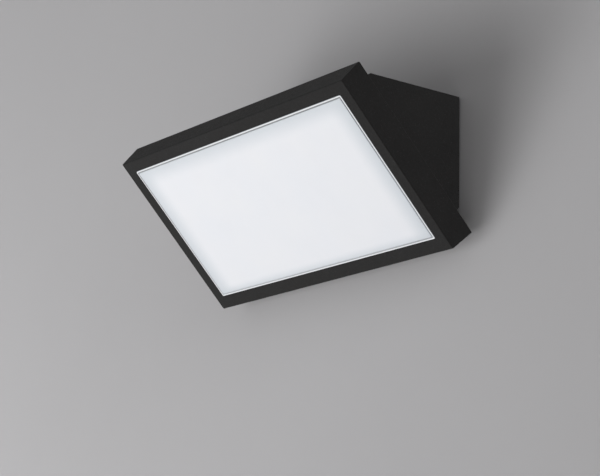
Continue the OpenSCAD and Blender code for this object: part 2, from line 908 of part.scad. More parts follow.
module bracket_rivets() {
    color(steel) at_rivets() {
        translate([0, 0, seat_gap]) cylinder(h = 2 * wall_plate_t - seat_gap, d = rivet_d);
        translate([0, 0, 2 * wall_plate_t]) cylinder(h = rivet_head_h, d = rivet_head_d);
    }
}

module slot_outline() {
    straight = slot_l - slot_w;
    translate([-straight / 2, -slot_w / 2]) square([straight, slot_w]);
    for (x = [-straight / 2, straight / 2])
        translate([x, 0]) circle(d = slot_w);
}

module wall_gasket() {
    color(foam_black) difference() {
        translate([-rabbet_w / 2 + seat_gap, -wall_gasket_t, -rabbet_h / 2 + seat_gap])
            cube([rabbet_w - 2 * seat_gap, wall_gasket_t, rabbet_h - 2 * seat_gap]);
        translate([-open_w / 2, -wall_gasket_t - cut, -open_h / 2])
            cube([open_w, wall_gasket_t + 2 * cut, open_h]);
    }
}

module cable_grommet() {
    color(rubber_black) rotate([90, 0, 0]) difference() {
        union() {
            translate([0, 0, dish_depth - inlet_flange_t]) cylinder(h = inlet_flange_t, d = inlet_flange_d);
            translate([0, 0, dish_depth]) cylinder(h = wall_plate_t, d = cable_hole_d - thread_gap);
            translate([0, 0, dish_back]) cylinder(h = inlet_flange_t, d = inlet_flange_d);
            translate([0, 0, dish_back + inlet_flange_t]) cylinder(h = inlet_nozzle_l, d = inlet_nozzle_d);
        }
        cylinder(h = far, d = cable_d);
    }
}

module terminal_block() {
    color(block_plastic) difference() {
        union() {
            translate([block_x - block_w / 2, -wall_plate_t - block_d, block_z - block_h / 2])
                cube([block_w, block_d, block_h]);
            translate([block_x - block_w / 2 - block_ear, -wall_plate_t - block_ear_t,
                block_z - block_ear_h / 2])
                cube([block_w + 2 * block_ear, block_ear_t, block_ear_h]);
        }
        for (i = [0 : poles - 1]) {
            translate([pole_x(i) - cage_a / 2 - cage_gap, -cage_y - cage_a / 2 - cage_gap,
                block_z - block_h / 2 - cut])
                cube([cage_a + 2 * cage_gap, cage_a + 2 * cage_gap, block_h + 2 * cut]);
            for (s = [-1, 1])
                translate([pole_x(i), -cage_y, block_z + s * well_z]) rotate([90, 0, 0])
                    cylinder(h = far, d = well_d);
        }
        for (s = [-1, 1])
            translate([block_x + s * (block_w / 2 + block_ear / 2), cut, block_z]) rotate([90, 0, 0])
                cylinder(h = wall_plate_t + block_ear_t + 2 * cut, d = small_screw_d + hole_gap);
    }
}

module terminal_cages() {
    color(brass)
        for (i = [0 : poles - 1])
            difference() {
                translate([pole_x(i) - cage_a / 2, -cage_y - cage_a / 2, block_z - cage_l / 2])
                    cube([cage_a, cage_a, cage_l]);
                translate([pole_x(i), -cage_y, block_z - cage_l / 2 - cut])
                    cylinder(h = cage_l + 2 * cut, d = cage_bore);
                for (s = [-1, 1])
                    translate([pole_x(i), -cage_y, block_z + s * well_z]) rotate([90, 0, 0])
                        cylinder(h = cage_a, d = clamp_screw_d + thread_gap);
            }
}

module terminal_screws() {
    head_y0 = cage_y + cage_a / 2 + clamp_stand;
    color(steel)
        for (i = [0 : poles - 1])
            for (s = [-1, 1])
                translate([pole_x(i), 0, block_z + s * well_z]) rotate([90, 0, 0]) difference() {
                    union() {
                        translate([0, 0, cage_y + clamp_reach])
                            cylinder(h = head_y0 - cage_y - clamp_reach, d = clamp_screw_d);
                        translate([0, 0, head_y0]) cylinder(h = clamp_head_h, d = clamp_head_d);
                    }
                    translate([-clamp_head_d / 2, -slit_w / 2, head_y0 + clamp_head_h - slit_depth])
                        cube([clamp_head_d, slit_w, slit_depth + cut]);
                }
}

module terminal_fixings() {
    seat = wall_plate_t + block_ear_t;
    color(steel)
        for (s = [-1, 1])
            translate([block_x + s * (block_w / 2 + block_ear / 2), 0, block_z]) rotate([90, 0, 0])
                difference() {
                    union() {
                        translate([0, 0, seat_gap]) cylinder(h = seat - seat_gap, d = small_screw_d);
                        translate([0, 0, seat]) cylinder(h = small_head_h, d = block_ear - 2 * seat_gap);
                    }
                    translate([-small_head_d / 2, -slit_w / 2, seat + small_head_h - slit_depth])
                        cube([small_head_d, slit_w, slit_depth + cut]);
                }
}

module cover_screws() {
    head_seat = cover_seat + cover_seal_t;
    color(black_paint)
        for (x = lug_x)
            translate([x, cover_y, 0]) difference() {
                union() {
                    translate([0, 0, head_seat - cover_screw_l])
                        cylinder(h = cover_screw_l, d = cover_screw_d);
                    translate([0, 0, head_seat]) cylinder(h = cover_head_h, d = cover_head_d);
                }
                translate([0, 0, head_seat + cover_head_h - hex_depth])
                    cylinder(h = hex_depth + cut, d = hex_af / cos(30), $fn = 6);
            }
}

module cover_seals() {
    color(rubber_black)
        for (x = lug_x)
            translate([x, cover_y, cover_seat]) difference() {
                cylinder(h = cover_seal_t, d = cover_bore_d - thread_gap);
                translate([0, 0, -cut]) cylinder(h = cover_seal_t + 2 * cut, d = cover_screw_d + hole_gap);
            }
}

module lug_nuts() {
    color(steel)
        for (x = lug_x)
            translate([x, cover_y, lug_top - wall_plate_t - nut_l]) difference() {
                cylinder(h = nut_l, d = nut_d);
                translate([0, 0, -cut]) cylinder(h = nut_l + 2 * cut, d = cover_screw_d + thread_gap);
            }
}

front_frame();
diffuser();
diffuser_gasket();
rear_housing();
frame_seal();
frame_screws();
reflector();
led_board();
led_packages();
board_connector();
thermal_pad();
board_screws();
lead_grommet();
led_leads();
driver_case();
driver_potting();
driver_screws();
supply_leads();
earth_lead();
earth_ring();
earth_washer();
earth_screw();
wall_plate();
wall_gasket();
cable_grommet();
terminal_block();
terminal_cages();
terminal_screws();
terminal_fixings();
cover_screws();
cover_seals();
lug_nuts();
lug_brackets();
hook_brackets();
bracket_rivets();
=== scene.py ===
import json
import math

import bmesh
import bpy
from mathutils import Matrix, Vector


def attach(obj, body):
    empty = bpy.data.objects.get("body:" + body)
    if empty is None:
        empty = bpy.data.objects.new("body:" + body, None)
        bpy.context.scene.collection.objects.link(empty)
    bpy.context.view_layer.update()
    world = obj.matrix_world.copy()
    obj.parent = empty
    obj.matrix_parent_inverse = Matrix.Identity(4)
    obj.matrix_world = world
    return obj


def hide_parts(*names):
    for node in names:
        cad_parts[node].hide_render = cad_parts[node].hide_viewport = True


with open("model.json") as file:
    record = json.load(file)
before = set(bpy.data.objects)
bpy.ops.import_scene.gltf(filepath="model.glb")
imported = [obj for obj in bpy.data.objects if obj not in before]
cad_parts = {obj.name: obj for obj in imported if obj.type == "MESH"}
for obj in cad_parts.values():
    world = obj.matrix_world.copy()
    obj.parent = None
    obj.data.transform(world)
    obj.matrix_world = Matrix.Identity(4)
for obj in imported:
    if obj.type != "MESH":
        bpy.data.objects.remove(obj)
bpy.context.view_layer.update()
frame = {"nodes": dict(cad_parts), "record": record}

nodes = frame["nodes"]
scene = bpy.context.scene

# Sizes that the CAD has too, in millimetres
HEAD_W, HEAD_H, HEAD_T, FLARE = 220.0, 113.0, 17.0, 1.2
TILT = math.radians(45)
SIN, COS = math.sin(TILT), math.cos(TILT)
FRAME_WALL, FRONT_CUT, LEDGE_W, BOSS_D = 2.5, 0.4, 1.5, 4.8
BEZEL_T, BEZEL_SIDE, BEZEL_TOP, BEZEL_BOTTOM = 2.5, 8.0, 7.5, 8.5
PLATE_T, SEAL_T, PAD_T, BOARD_T = 3.0, 1.5, 0.5, 1.6
INSET, COLLAR_D, LIP_GAP, RIM_GAP = 11.0, 12.0, 0.5, 0.5
BOARD_W, BOARD_H, LED_EDGE_X, LED_EDGE_H = 190.0, 84.0, 12.5, 13.5
LED_COLS, LED_ROWS = 12, 4
COVER_X, COVER_Y, COVER_HEAD_H = 60.0, -10.0, 2.2
RIVET_SIDE, RIVET_LOW, RIVET_HIGH = 5.0, -14.5, 15.86

# Places that follow from them, in the head's own x, h and depth, or in the light's frame
PLATE_FRONT = HEAD_T - PLATE_T
LEDGE_DEPTH = PLATE_FRONT - SEAL_T
BOARD_FRONT = PLATE_FRONT - PAD_T - BOARD_T
BOARD_MID = (BEZEL_BOTTOM + HEAD_H - BEZEL_TOP) / 2
COLLAR_TOP = HEAD_H + FLARE - COLLAR_D * math.tan(TILT)
COLLAR_LOW = COLLAR_D / math.tan(TILT) - LIP_GAP / SIN - FLARE
COLLAR_BACK = HEAD_T + COLLAR_D
BACK_H = (COLLAR_TOP - COLLAR_LOW) * COS
HEAD_Y = -RIM_GAP + COLLAR_LOW * SIN - COLLAR_BACK * COS
HEAD_Z = -BACK_H / 2 - COLLAR_LOW * COS - COLLAR_BACK * SIN
HOUSING_TOP = BACK_H / 2
HOUSING_W = HEAD_W + 2 * FLARE - 2 * INSET
BOSS_X = HEAD_W / 2 - FRAME_WALL - BOSS_D / 4
BOSS_LOW = FRAME_WALL + BOSS_D / 4
BOSS_HIGH = HEAD_H - FRAME_WALL - BOSS_D / 4
FRAME_BOSSES = [(x, h) for h in (BOSS_LOW, BOSS_HIGH) for x in (-BOSS_X, 0.0, BOSS_X)]
LED_X, LED_H = BOARD_W / 2 - LED_EDGE_X, BOARD_H / 2 - LED_EDGE_H
LED_PITCH_X, LED_PITCH_H = 2 * LED_X / (LED_COLS - 1), 2 * LED_H / (LED_ROWS - 1)

# Sizes of the visual model's own: the window's corner, and the diffuser's gap, cut rim and groove
WINDOW_R = 0.9
DIFFUSER_GAP, RIM_W, GROOVE_W = 0.15, 0.80, 0.80

# The diffuser's light: its edge against its middle, and how far that edge reaches in and out of the window
EDGE_GLOW = 0.6
FADE_SIDE, FADE_TOP, FADE_BOTTOM, FADE_OUT = 18.0, 14.0, 7.5, 1.0

# Painted shade in the groove: how its light grows from its dark top right corner, towards the foot and
# towards the left
GROOVE_DOWN, GROOVE_LEFT = 0.5, 0.15


def at(x, h, depth):
    """A point in the head, given as x, height up the slope and depth behind the front face."""
    return Vector((x, HEAD_Y - h * SIN + depth * COS, HEAD_Z + h * COS + depth * SIN)) / 1000


# Materials
class Mat:
    """A material with a few helpers to wire up procedural nodes."""

    def __init__(self, name):
        self.mat = bpy.data.materials.new(name)
        self.mat.use_nodes = True
        self.tree = self.mat.node_tree
        self.bsdf = self.tree.nodes["Principled BSDF"]
        self.coord = self.tree.nodes.new("ShaderNodeTexCoord").outputs["Object"]

    def feed(self, socket, value):
        """Gives a socket a plain value, or links it to another node's output."""
        if isinstance(value, bpy.types.NodeSocket):
            self.tree.links.new(value, socket)
        else:
            socket.default_value = value

    def node(self, kind, **inputs):
        """A new node whose inputs are given by name, with _ for a space."""
        n = self.tree.nodes.new("ShaderNode" + kind)
        for key, value in inputs.items():
            self.feed(n.inputs[key.replace("_", " ")], value)
        return n

    def set(self, **inputs):
        """Feeds the shader's own sockets in the same way."""
        for key, value in inputs.items():
            self.feed(self.bsdf.inputs[key.replace("_", " ")], value)

    def scaled(self, scale, turn=(0, 0, 0)):
        return self.node("Mapping", Scale=scale, Rotation=turn, Vector=self.coord).outputs["Vector"]

    def noise(self, scale, detail, rough, distort=0.0, vector=None):
        n = self.node("TexNoise", Scale=scale, Detail=detail, Roughness=rough, Distortion=distort,
                      Vector=vector or self.coord)
        return n.outputs["Fac"]

    def voronoi(self, scale):
        return self.node("TexVoronoi", Scale=scale, Vector=self.coord).outputs["Distance"]

    def attribute(self, name):
        n = self.node("Attribute")
        n.attribute_name = name
        n.attribute_type = "GEOMETRY"
        return n.outputs["Fac"]

    def remap(self, value, low, high, to_low, to_high, smooth=False):
        n = self.node("MapRange", From_Min=low, From_Max=high, To_Min=to_low, To_Max=to_high, Value=value)
        if smooth:
            n.interpolation_type = "SMOOTHSTEP"
        return n.outputs["Result"]

    def spread(self, noise, to_low, to_high):
        """The middle part of a noise, from 0.3 to 0.7, stretched to a range."""
        return self.remap(noise, 0.3, 0.7, to_low, to_high)

    def math(self, op, a, b=0.0):
        n = self.node("Math")
        n.operation = op
        self.feed(n.inputs[0], a)
        self.feed(n.inputs[1], b)
        return n.outputs[0]

    def mix(self, fac, a, b):
        """Mixes two colours, each a tuple or another node's output."""
        n = self.node("Mix")
        n.data_type = "RGBA"
        for key, value in (("Factor", fac), ("A", a), ("B", b)):
            socket = next(s for s in n.inputs if s.name == key and s.type in ("VALUE", "RGBA") and s.enabled)
            self.feed(socket, (*value, 1.0) if isinstance(value, tuple) else value)
        return next(s for s in n.outputs if s.type == "RGBA")

    def bump(self, *layers):
        """Each layer is (height, strength, distance in metres)."""
        last = None
        for height, strength, distance in layers:
            n = self.node("Bump", Strength=strength, Distance=distance, Height=height)
            if last is not None:
                self.feed(n.inputs["Normal"], last)
            last = n.outputs["Normal"]
        self.set(Normal=last)


def black_paint(name):
    """Satin powder coat on a die casting: fine orange peel, slight clouding and a little dust."""
    m = Mat(name)
    peel = m.noise(700, 4, 0.6)
    grain = m.noise(3200, 2, 0.5)
    cloud = m.noise(24, 5, 0.62)
    base = m.mix(m.remap(cloud, 0.35, 0.68, 0, 1), (0.0105, 0.0101, 0.0102), (0.0155, 0.0150, 0.0149))
    dust = m.remap(m.noise(1300, 1, 0.4), 0.62, 0.76, 0, 0.5)
    m.set(Base_Color=m.mix(dust, base, (0.030, 0.0295, 0.029)), Specular_IOR_Level=0.13,
          Roughness=m.math("ADD", m.spread(cloud, 0.64, 0.76), m.spread(peel, -0.06, 0.06)))
    m.bump((peel, 0.35, 0.00035), (grain, 0.15, 0.00006))
    return m.mat


def rubber(name, low, high, rough):
    """Moulded rubber or silicone with a fine grain."""
    m = Mat(name)
    cloud = m.noise(60, 4, 0.6)
    fine = m.noise(2600, 3, 0.6)
    m.set(Base_Color=m.mix(m.spread(cloud, 0, 1), low, high), Specular_IOR_Level=0.3,
          Roughness=m.spread(fine, rough - 0.06, rough + 0.06))
    m.bump((fine, 0.25, 0.00008), (cloud, 0.1, 0.0003))
    return m.mat


def foam(name):
    """Closed-cell foam: small dark cells."""
    m = Mat(name)
    cells = m.voronoi(1500)
    m.set(Base_Color=m.mix(m.remap(cells, 0.1, 0.6, 0, 1), (0.014, 0.014, 0.015), (0.045, 0.046, 0.048)),
          Specular_IOR_Level=0.2, Roughness=m.spread(m.noise(90, 3, 0.6), 0.82, 0.95))
    m.bump((cells, 0.5, 0.0003))
    return m.mat


def metal(name, low, high, rough):
    """Metal with fine drawn lines along x."""
    m = Mat(name)
    lines = m.noise(1, 3, 0.6, vector=m.scaled((60, 2200, 2200)))
    stain = m.noise(45, 4, 0.65)
    m.set(Base_Color=m.mix(m.spread(stain, 0, 1), low, high), Metallic=1.0,
          Roughness=m.math("ADD", m.spread(lines, rough - 0.07, rough + 0.07), m.spread(stain, -0.04, 0.05)))
    m.bump((lines, 0.12, 0.00005))
    return m.mat


def zinc(name):
    """Bright zinc on pressed sheet: faint spangle, rolling lines and clouding."""
    m = Mat(name)
    spangle = m.voronoi(420)
    lines = m.noise(1, 3, 0.6, vector=m.scaled((40, 1500, 1500)))
    cloud = m.noise(18, 5, 0.65)
    base = m.mix(m.remap(spangle, 0.0, 0.9, 0, 1), (0.55, 0.565, 0.58), (0.62, 0.635, 0.65))
    m.set(Base_Color=m.mix(m.remap(cloud, 0.4, 0.8, 0, 0.45), base, (0.47, 0.48, 0.49)), Metallic=1.0,
          Roughness=m.math("ADD", m.spread(lines, 0.30, 0.40), m.spread(cloud, -0.04, 0.06)))
    m.bump((lines, 0.10, 0.00005), (spangle, 0.03, 0.00005))
    return m.mat


def plastic(name, low, high, rough, cloud_scale=35, fine_scale=1800, strength=0.15):
    """Moulded plastic with a fine spark-eroded grain."""
    m = Mat(name)
    fine = m.noise(fine_scale, 3, 0.55)
    m.set(Base_Color=m.mix(m.spread(m.noise(cloud_scale, 4, 0.6), 0, 1), low, high),
          Roughness=m.spread(fine, rough - 0.05, rough + 0.05))
    m.bump((fine, strength, 0.00006))
    return m.mat


def solder_mask(name):
    """White board lacquer over the gaps between copper areas, which show as faint thin lines."""
    m = Mat(name)
    gaps = m.node("TexBrick", Scale=1.0, Brick_Width=0.0145, Row_Height=0.0190, Mortar_Size=0.00035,
                  Mortar_Smooth=0.4, Vector=m.scaled((1, 1, 1), (TILT, 0, 0))).outputs["Fac"]
    cloud = m.noise(50, 4, 0.6)
    white = m.mix(m.spread(cloud, 0, 1), (0.80, 0.81, 0.795), (0.83, 0.84, 0.825))
    m.set(Base_Color=m.mix(m.remap(gaps, 0, 1, 0, 0.8), white, (0.70, 0.705, 0.68)),
          Roughness=m.spread(m.noise(900, 2, 0.5), 0.38, 0.50))
    m.bump((gaps, -0.35, 0.00008), (cloud, 0.05, 0.0002))
    return m.mat


def led_package(name):
    """White moulded body round a yellow phosphor window, told apart by the mesh's lens attribute."""
    m = Mat(name)
    grain = m.noise(2600, 3, 0.6)
    yellow = m.mix(m.spread(grain, 0, 1), (0.84, 0.62, 0.12), (0.92, 0.73, 0.22))
    white = m.mix(m.spread(grain, 0, 1), (0.80, 0.80, 0.78), (0.86, 0.86, 0.84))
    m.set(Base_Color=m.mix(m.remap(m.attribute("lens"), 0.4, 0.6, 0, 1), white, yellow),
          Roughness=m.spread(grain, 0.30, 0.42))
    m.bump((grain, 0.12, 0.00004))
    return m.mat


def resin(name):
    """Poured resin with a slow swirl."""
    m = Mat(name)
    swirl = m.noise(70, 4, 0.6, distort=1.5)
    m.set(Base_Color=m.mix(m.spread(swirl, 0, 1), (0.075, 0.080, 0.086), (0.130, 0.136, 0.142)),
          Roughness=m.spread(swirl, 0.22, 0.38))
    m.bump((swirl, 0.12, 0.0006))
    return m.mat


def striped(name, base, stripe):
    """Cable sleeve in a base colour, crossed by bands of a second colour."""
    m = Mat(name)
    bands = m.node("TexWave", Scale=70, Distortion=0.4, Vector=m.coord).outputs["Fac"]
    m.set(Base_Color=m.mix(m.remap(bands, 0.45, 0.55, 0, 1), base, stripe),
          Roughness=m.spread(m.noise(600, 2, 0.5), 0.32, 0.42))
    m.bump((m.noise(500, 2, 0.5), 0.1, 0.0001))
    return m.mat


def opal_inside(m):
    """How far a point of the diffuser lies inside the window: 0 just outside it, 1 in its even middle."""
    split = m.node("SeparateXYZ", Vector=m.coord).outputs
    foot = at(0, 0, 0)
    across = m.math("ABSOLUTE", split["X"])
    slope = m.math("MULTIPLY", m.math("SUBTRACT", split["Z"], split["Y"]), COS)
    up = m.math("SUBTRACT", slope, (foot.z - foot.y) * COS)
    inside = None
    for place, edge, inwards, reach in ((across, HEAD_W / 2 - BEZEL_SIDE, -1, FADE_SIDE),
                                        (up, HEAD_H - BEZEL_TOP, -1, FADE_TOP),
                                        (up, BEZEL_BOTTOM, 1, FADE_BOTTOM)):
        start, end = edge - inwards * FADE_OUT, edge + inwards * reach
        side = m.remap(place, start / 1000, end / 1000, 0, 1, smooth=True)
        inside = side if inside is None else m.math("MULTIPLY", inside, side)
    return inside


def opal(name):
    """Opal diffuser, lit from behind: cool white, dimmer and bluer towards its edges, with a bright cut rim.

    The mesh's glow attribute says how brightly each part of it is lit. Where it is low, in the groove, on the
    flange behind the bezel and in the hollow, the base colour is darkened as painted shade."""
    m = Mat(name)
    glow, inside, cloud = m.attribute("glow"), opal_inside(m), m.spread(m.noise(26, 3, 0.5), 0, 1)

    tint = m.mix(inside, (0.362, 0.396, 0.438), m.mix(cloud, (0.357, 0.364, 0.391), (0.367, 0.370, 0.391)))
    tint = m.mix(m.remap(glow, 1.0, 1.6, 0, 1), tint, (0.415, 0.418, 0.425))
    level = m.math("MULTIPLY", glow, m.remap(inside, 0, 1, EDGE_GLOW, 1))
    level = m.math("MULTIPLY", level, m.spread(m.noise(60, 3, 0.5), 0.985, 1.015))

    # Painted shade: the base colour too is darker and bluer towards the window's edges, where less light
    # comes through.
    base = m.mix(inside, (0.300, 0.315, 0.330), m.mix(cloud, (0.345, 0.353, 0.365), (0.352, 0.358, 0.366)))
    # Painted shade: where the glow is low, in the groove, on the flange behind the bezel and in the hollow,
    # the base colour turns dark grey.
    base = m.mix(m.remap(glow, 0.0, 0.5, 0, 1), (0.165, 0.172, 0.180), base)

    fine = m.noise(2400, 2, 0.5)
    m.set(Base_Color=base, Roughness=m.spread(fine, 0.28, 0.36), IOR=1.585, Specular_IOR_Level=0.30,
          Emission_Color=m.mix(level, (0.0, 0.0, 0.0), tint), Emission_Strength=1.0)
    m.bump((fine, 0.05, 0.00005))
    return m.mat


# One material for each slot of the record
MATERIALS = {
    "black_paint": black_paint("black_paint"),
    "opal": opal("opal"),
    "silicone": rubber("silicone", (0.25, 0.26, 0.27), (0.33, 0.34, 0.35), 0.62),
    "stainless": metal("stainless", (0.52, 0.52, 0.51), (0.66, 0.66, 0.65), 0.30),
    "white_plastic": plastic("white_plastic", (0.80, 0.81, 0.80), (0.88, 0.89, 0.88), 0.48),
    "solder_mask": solder_mask("solder_mask"),
    "led_phosphor": led_package("led_phosphor"),
    "thermal_silicone": rubber("thermal_silicone", (0.22, 0.38, 0.48), (0.30, 0.48, 0.58), 0.7),
    "black_rubber": rubber("black_rubber", (0.014, 0.014, 0.015), (0.026, 0.026, 0.027), 0.68),
    "lead_sleeve": striped("lead_sleeve", (0.42, 0.045, 0.030), (0.36, 0.035, 0.026)),
    "driver_plastic": plastic("driver_plastic", (0.028, 0.031, 0.035), (0.044, 0.047, 0.052), 0.5,
                              cloud_scale=50, fine_scale=1400, strength=0.3),
    "potting_resin": resin("potting_resin"),
    "earth_sleeve": striped("earth_sleeve", (0.10, 0.33, 0.07), (0.75, 0.62, 0.06)),
    "tinned_copper": metal("tinned_copper", (0.58, 0.56, 0.52), (0.70, 0.69, 0.66), 0.34),
    "brass": metal("brass", (0.62, 0.43, 0.16), (0.76, 0.57, 0.26), 0.30),
    "zinc_plate": zinc("zinc_plate"),
    "foam_rubber": foam("foam_rubber"),
    "block_plastic": plastic("block_plastic", (0.70, 0.69, 0.62), (0.79, 0.78, 0.72), 0.52),
    "black_screw": metal("black_screw", (0.030, 0.030, 0.031), (0.055, 0.055, 0.057), 0.42),
}

for subpart in frame["record"]["subparts"]:
    slots = nodes[subpart["node"]].data.materials
    slots.clear()
    slots.append(MATERIALS[subpart["material_slot"]])


# Mesh building
def add_piece(name, bm, slot, stands_for, crease=32):
    """Makes an object of a bmesh in the light's frame, with sharp edges where its faces turn."""
    bmesh.ops.remove_doubles(bm, verts=bm.verts, dist=1e-7)
    bmesh.ops.recalc_face_normals(bm, faces=bm.faces)
    mesh = bpy.data.meshes.new(name)
    bm.to_mesh(mesh)
    bm.free()
    mesh.shade_smooth()
    mesh.set_sharp_from_angle(angle=math.radians(crease))
    obj = bpy.data.objects.new(name, mesh)
    scene.collection.objects.link(obj)
    mesh.materials.append(MATERIALS[slot])
    # Flat faces keep their own normal right up to their rounded edges
    flat = obj.modifiers.new("weighted", "WEIGHTED_NORMAL")
    flat.keep_sharp = True
    obj.data = bpy.data.meshes.new_from_object(obj.evaluated_get(bpy.context.evaluated_depsgraph_get()))
    obj.modifiers.clear()
    bpy.data.meshes.remove(mesh)
    obj.data.name = name
    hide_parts(*stands_for)
    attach(obj, "root")


def rect_loop(half, low, high, r, depth, seg=6, x=0.0):
    """The points of a rounded rectangle on the slope, from its top right corner, as many for any size."""
    r = max(min(r, half - 0.01, (high - low) / 2 - 0.01), 0.0)
    corners = ((half - r, high - r), (r - half, high - r), (r - half, low + r), (half - r, low + r))
    points = []
    for quarter, (cx, cy) in enumerate(corners):
        for i in range(seg + 1):
            a = math.radians(90 * quarter + 90 * i / seg)
            points.append(at(x + cx + r * math.cos(a), cy + r * math.sin(a), depth))
    return points


def new_ring(bm, points):
    return [bm.verts.new(p) for p in points]


def turned_ring(bm, place, z, radius, seg):
    """A ring about a place's axis, where radius is a function of the angle."""
    points = []
    for i in range(seg):
        a = 2 * math.pi * i / seg
        points.append(place(Vector((radius(a) * math.cos(a), radius(a) * math.sin(a), z))))
    return new_ring(bm, points)


def circles(bm, place, profile, seg):
    """A ring for each (radius, height) pair, or a single point where the radius is 0."""
    return [turned_ring(bm, place, z, lambda a: r, seg) if r else new_ring(bm, [place(Vector((0, 0, z)))])
            for r, z in profile]


def skin(bm, rings, closed=False):
    """Joins rings of vertices with quads, and with triangles where a ring is a single point."""
    for a, b in list(zip(rings, rings[1:])) + ([(rings[-1], rings[0])] if closed else []):
        n = max(len(a), len(b))
        for i in range(n):
            j = (i + 1) % n
            if len(a) == 1:
                bm.faces.new((a[0], b[j], b[i]))
            elif len(b) == 1:
                bm.faces.new((a[i], a[j], b[0]))
            else:
                bm.faces.new((a[i], a[j], b[j], b[i]))


def lathe(bm, profile, place, seg, closed=False):
    """Turns (radius, height) pairs about the axis of a place."""
    skin(bm, circles(bm, place, profile, seg), closed)


def round_over(a, b, c, r, steps=4):
    """Points that round the corner b between a and c with radius r."""
    a, b, c = Vector(a), Vector(b), Vector(c)
    u, v = (a - b).normalized(), (c - b).normalized()
    half = math.acos(max(-1, min(1, u.dot(v)))) / 2
    t = min(r / math.tan(half), (a - b).length * 0.49, (c - b).length * 0.49)
    centre = b + (u + v).normalized() * (t * math.tan(half) / math.sin(half))
    p, q = b + u * t - centre, b + v * t - centre
    turn = p.angle_signed(q)
    return [tuple(centre + Matrix.Rotation(-turn * i / steps, 2) @ p) for i in range(steps + 1)]


def rounded_profile(points, closed=False):
    """Rounds a profile of corners, each given by its two coordinates and its radius."""
    n, out = len(points), []
    for i, (x, y, r) in enumerate(points):
        if not closed and i in (0, n - 1) or r == 0:
            out.append((x, y))
        else:
            out += round_over(points[i - 1][:2], (x, y), points[(i + 1) % n][:2], r)
    return out


def along(origin, axis):
    """A place, which maps its local points to the light's frame.

    Its +Z runs along the axis, from an origin in millimetres."""
    turn = Vector(axis).normalized().to_track_quat("Z", "Y").to_matrix()
    start = Vector(origin)
    return lambda p: (start + turn @ p) / 1000


def on_slope(x, h, depth, side):
    """A place on the head whose +Z runs backwards, for side 1, or forwards, for side -1."""
    return along(at(x, h, depth) * 1000, Vector((0, COS, SIN)) * side)


def socket_screw(bm, place, head_d, head_h, shank_d, shank_l, socket_r, dip, depth, dome, seg=48):
    """A screw along a place's +Z: its shank below 0 and a domed head with a socket above.

    The socket has six lobes that go in and out by dip, or is a hexagon where dip is 0."""
    def socket(grow):
        if dip:
            return lambda a: socket_r + grow + dip * math.cos(6 * a)
        return lambda a: (socket_r + grow) / math.cos((a + math.pi / 6) % (math.pi / 3) - math.pi / 6)

    shank_r, head_r, floor = shank_d / 2, head_d / 2, head_h - depth
    tip, rim = 0.35, 0.12
    rings = circles(bm, place, [
        (0, -shank_l), (shank_r - tip, -shank_l), (shank_r, tip - shank_l), (shank_r, 0),
        (head_r - rim, 0), (head_r, rim), (head_r, head_h - dome - 0.2),
        (head_r - 0.10, head_h - dome * 0.62), (head_r - 0.38, head_h - dome * 0.28),
        (head_r * 0.72, head_h - dome * 0.08)], seg)
    for grow, z in ((0.12, head_h), (0, head_h - 0.1), (0, floor), (-0.25, floor - 0.12)):
        rings.append(turned_ring(bm, place, z, socket(grow), seg))
    rings += circles(bm, place, [(0, floor - 0.35)], seg)
    skin(bm, rings)


# The light's pieces
def front_frame():
    """A ring of the window's edge, bezel, flared side and ledge, with six screw bosses behind it."""
    bm = bmesh.new()

    def inner(off, depth, r):
        """A ring round the window, larger than it by off on each side."""
        return new_ring(bm, rect_loop(HEAD_W / 2 - BEZEL_SIDE + off, BEZEL_BOTTOM - off,
                                      HEAD_H - BEZEL_TOP + off, r + off, depth))

    # The bezel is wider at the bottom than at the top, so the outside is placed by its own size
    def outer(off, depth, r):
        """A ring as large as the front face, and off larger on each side."""
        return new_ring(bm, rect_loop(HEAD_W / 2 + off, -off, HEAD_H + off, r, depth))

    window_edge = rounded_profile([(0, BEZEL_T, 0), (0, 0, 0.28), (2, 0, 0)])[:-1]
    rings = [inner(max(off, 0), depth, WINDOW_R) for off, depth in window_edge]
    # A wider ring in the flat of the bezel, between the window's corners and the sharper ones outside
    rings.append(inner(1.2, 0, WINDOW_R - 0.6))
    ledge, outside_r, ledge_r = LEDGE_W - FRAME_WALL, 0.55, 0.2
    side = rounded_profile([(-3, 0, 0), (-FRONT_CUT, 0, 0.15), (FLARE * FRONT_CUT / HEAD_T, FRONT_CUT, 0.15),
                            (FLARE, HEAD_T, 0.35), (ledge, HEAD_T, 0.2), (ledge, LEDGE_DEPTH, 0)])[1:]
    rings += [outer(off, depth, outside_r if off > ledge + 0.1 else ledge_r) for off, depth in side]
    rings += [outer(-FRAME_WALL, depth, 0.5) for depth in (LEDGE_DEPTH, BEZEL_T)]
    skin(bm, rings, closed=True)

    boss_r, hole_r, boss_l = BOSS_D / 2, 1.3, 10.3
    boss = [(hole_r, 0.05), (boss_r - 0.3, 0), (boss_r, 0.3), (boss_r, boss_l), (hole_r, boss_l)]
    for x, h in FRAME_BOSSES:
        lathe(bm, boss, on_slope(x, h, LEDGE_DEPTH, -1), 24, closed=True)
    add_piece("frame_casting", bm, "black_paint", ["front_frame"])


